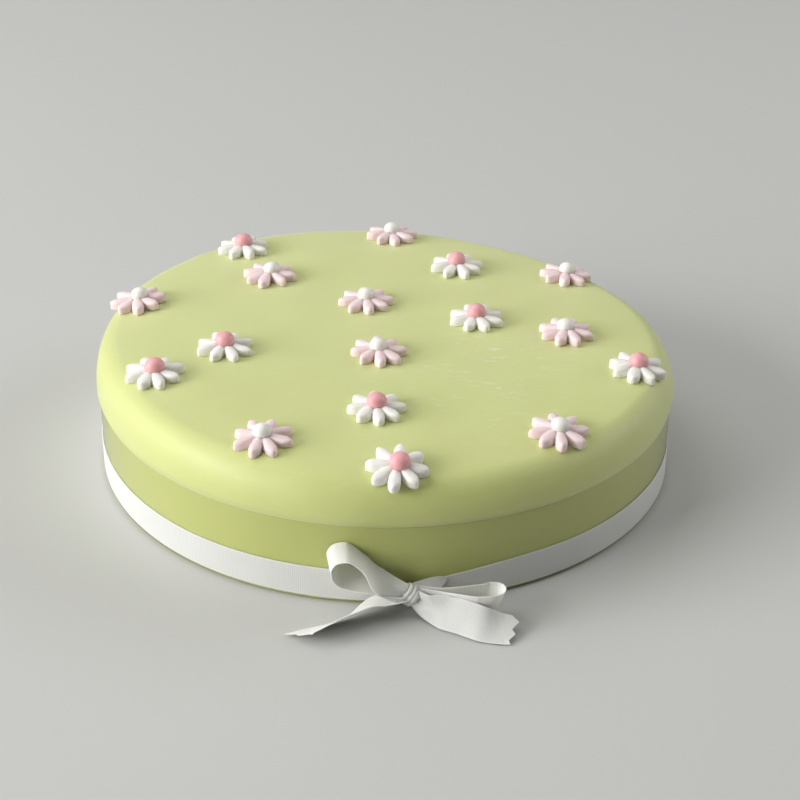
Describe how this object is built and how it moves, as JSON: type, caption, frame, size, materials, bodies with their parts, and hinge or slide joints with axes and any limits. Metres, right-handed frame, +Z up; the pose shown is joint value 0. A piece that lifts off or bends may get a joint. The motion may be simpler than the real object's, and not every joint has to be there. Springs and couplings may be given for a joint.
{
  "type": "decorated cake",
  "caption": "Round marzipan-covered sponge cake, uncut, with a clear film collar, a white ribbon tied in a bow round its foot and sugar daisies scattered over its top.",
  "frame": {"origin": "middle of the cake's flat underside, on the surface it rests on", "axes": "+Z up; -Y towards the front, where the bow is tied; +X to the right of someone looking at the bow"},
  "size_m": [0.2884, 0.3209, 0.0772],
  "materials": {
    "marzipan": "rolled pale green marzipan, satin",
    "clear_film": "clear film, polished, showing the icing behind it",
    "ribbon_cloth": "ribbed white ribbon, matt with a soft sheen",
    "white_sugar": "dried white sugar paste, matt",
    "pink_sugar": "dried pale pink sugar paste, matt",
    "white_pearl": "white sugar pearl, satin",
    "pink_pearl": "pink sugar pearl, satin"
  },
  "bodies": {
    "root": {"cake": "marzipan", "film_collar": "clear_film", "ribbon": "ribbon_cloth", "daisy_01_petals": "white_sugar", "daisy_01_pearl": "pink_pearl", "daisy_02_petals": "pink_sugar", "daisy_02_pearl": "white_pearl", "daisy_03_petals": "pink_sugar", "daisy_03_pearl": "white_pearl", "daisy_04_petals": "white_sugar", "daisy_04_pearl": "pink_pearl", "daisy_05_petals": "pink_sugar", "daisy_05_pearl": "white_pearl", "daisy_06_petals": "pink_sugar", "daisy_06_pearl": "white_pearl", "daisy_07_petals": "white_sugar", "daisy_07_pearl": "pink_pearl", "daisy_08_petals": "white_sugar", "daisy_08_pearl": "pink_pearl", "daisy_09_petals": "pink_sugar", "daisy_09_pearl": "white_pearl", "daisy_10_petals": "pink_sugar", "daisy_10_pearl": "white_pearl", "daisy_11_petals": "white_sugar", "daisy_11_pearl": "pink_pearl", "daisy_12_petals": "pink_sugar", "daisy_12_pearl": "white_pearl", "daisy_13_petals": "white_sugar", "daisy_13_pearl": "pink_pearl", "daisy_14_petals": "white_sugar", "daisy_14_pearl": "pink_pearl", "daisy_15_petals": "pink_sugar", "daisy_15_pearl": "white_pearl", "daisy_16_petals": "white_sugar", "daisy_16_pearl": "pink_pearl", "daisy_17_petals": "pink_sugar", "daisy_17_pearl": "white_pearl"}
  },
  "joints": []
}
